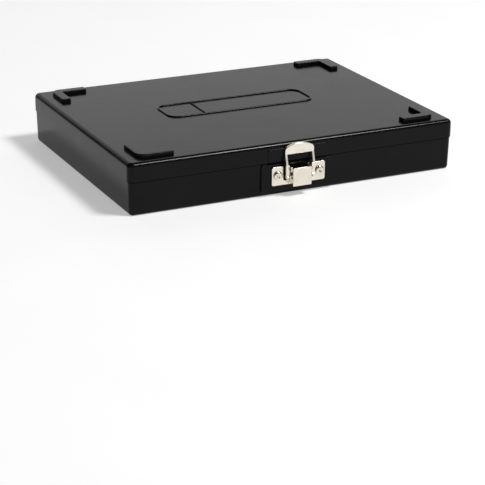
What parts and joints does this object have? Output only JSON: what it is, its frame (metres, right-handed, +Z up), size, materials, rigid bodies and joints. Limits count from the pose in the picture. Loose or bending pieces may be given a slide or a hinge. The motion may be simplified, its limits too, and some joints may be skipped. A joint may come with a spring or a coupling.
{
  "type": "socket wrench set in case",
  "caption": "Shallow black moulded case with a plated draw latch, holding a quarter-inch drive socket wrench set in a moulded insert.",
  "frame": {"origin": "centre of the case's flat underside", "axes": "+X along the case's width, to the right seen from the latch; +Y to the hinge; +Z up"},
  "size_m": [0.21, 0.1704, 0.0333],
  "materials": {
    "case_plastic": "black injection-moulded plastic, glossy",
    "lid_plastic": "black injection-moulded plastic, glossy, polished top",
    "nickel_plate": "bright nickel plate on stamped steel",
    "pin_steel": "bright drawn steel wire",
    "insert_plastic": "moulded insert plastic, fine matt grain",
    "grip_plastic": "moulded grip plastic, satin",
    "bit_steel": "hardened steel, grey",
    "dark_steel": "hardened steel, oiled",
    "chrome_tools": "satin chrome plate"
  },
  "bodies": {
    "root": {"bit_adapter": "chrome_tools", "bit_cross_46": "bit_steel", "bit_cross_50": "bit_steel", "bit_hex_30": "bit_steel", "bit_hex_40": "bit_steel", "bit_hex_50": "bit_steel", "bit_hex_60": "bit_steel", "bit_slotted_45": "bit_steel", "bit_slotted_55": "bit_steel", "case_base": "case_plastic", "cover_screw_1": "dark_steel", "cover_screw_2": "dark_steel", "cover_screw_3": "dark_steel", "driver_handle": "grip_plastic", "driver_shank": "chrome_tools", "extension_long": "chrome_tools", "extension_long_ball": "dark_steel", "extension_short": "chrome_tools", "extension_short_ball": "dark_steel", "hinge_pin_left": "pin_steel", "hinge_pin_right": "pin_steel", "joint_fork_socket": "chrome_tools", "latch_plate": "nickel_plate", "latch_rivet_left": "nickel_plate", "latch_rivet_right": "nickel_plate", "lever_pin": "nickel_plate", "pawl_ball": "dark_steel", "pawl_spring": "dark_steel", "ratchet_body": "chrome_tools", "ratchet_cover": "chrome_tools", "ratchet_grip": "grip_plastic", "socket_05_mm": "chrome_tools", "socket_06_mm": "chrome_tools", "socket_07_mm": "chrome_tools", "socket_08_mm": "chrome_tools", "socket_09_mm": "chrome_tools", "socket_10_mm": "chrome_tools", "socket_11_mm": "chrome_tools", "socket_12_mm": "chrome_tools", "socket_13_mm": "chrome_tools", "socket_14_mm": "chrome_tools", "tee_bar": "chrome_tools", "tool_tray": "insert_plastic"},
    "lid": {"case_lid": "lid_plastic", "latch_strike": "nickel_plate", "strike_rivet_left": "nickel_plate", "strike_rivet_right": "nickel_plate"},
    "lever": {"latch_lever": "nickel_plate", "link_pin": "nickel_plate"},
    "link": {"latch_link": "nickel_plate"},
    "drive": {"drive_gear": "dark_steel", "drive_ball": "dark_steel"},
    "pawl": {"ratchet_pawl": "dark_steel"},
    "selector": {"selector_lever": "dark_steel"},
    "slider": {"tee_head": "chrome_tools", "tee_head_ball": "dark_steel"},
    "cross": {"joint_cross": "dark_steel"},
    "joint_end": {"joint_fork_drive": "chrome_tools", "joint_ball": "dark_steel"}
  },
  "joints": [
    {"name": "lid_hinge", "type": "hinge", "parent": "root", "child": "lid", "pos_m": [0, 0.082, 0.01985], "axis": [-1, 0, 0], "range_deg": [0, 180]},
    {"name": "lever_pivot", "type": "hinge", "parent": "root", "child": "lever", "pos_m": [0, -0.0839, 0.0162], "axis": [-1, 0, 0], "range_deg": [0, 150]},
    {"name": "link_pivot", "type": "hinge", "parent": "lever", "child": "link", "pos_m": [0, -0.0826, 0.0117], "axis": [1, 0, 0], "range_deg": [0, 150]},
    {"name": "drive_spin", "type": "hinge", "parent": "root", "child": "drive", "pos_m": [-0.082, 0.033, 0.016], "axis": [0, 0, 1], "continuous": true},
    {"name": "selector_pivot", "type": "hinge", "parent": "root", "child": "selector", "pos_m": [-0.0702, 0.033, 0.02], "axis": [0, 0, 1], "range_deg": [0, 49.99]},
    {"name": "pawl_pivot", "type": "hinge", "parent": "root", "child": "pawl", "pos_m": [-0.0702, 0.033, 0.02], "axis": [0, 0, 1], "range_deg": [-11, 0]},
    {"name": "tee_slide", "type": "slide", "parent": "root", "child": "slider", "axis": [1, 0, 0], "range_m": [-0.044, 0.044]},
    {"name": "joint_swing", "type": "hinge", "parent": "root", "child": "cross", "pos_m": [0.048, -0.023, 0.01], "axis": [0, 0, 1], "range_deg": [-45, 45]},
    {"name": "joint_tilt", "type": "hinge", "parent": "cross", "child": "joint_end", "pos_m": [0.048, -0.023, 0.01], "axis": [0, -1, 0], "range_deg": [0, 30]}
  ],
  "couplings": [
    {"joint": "link_pivot", "follows": "lever_pivot", "ratio": 1},
    {"joint": "selector_pivot", "follows": "pawl_pivot", "ratio": -4.545}
  ]
}
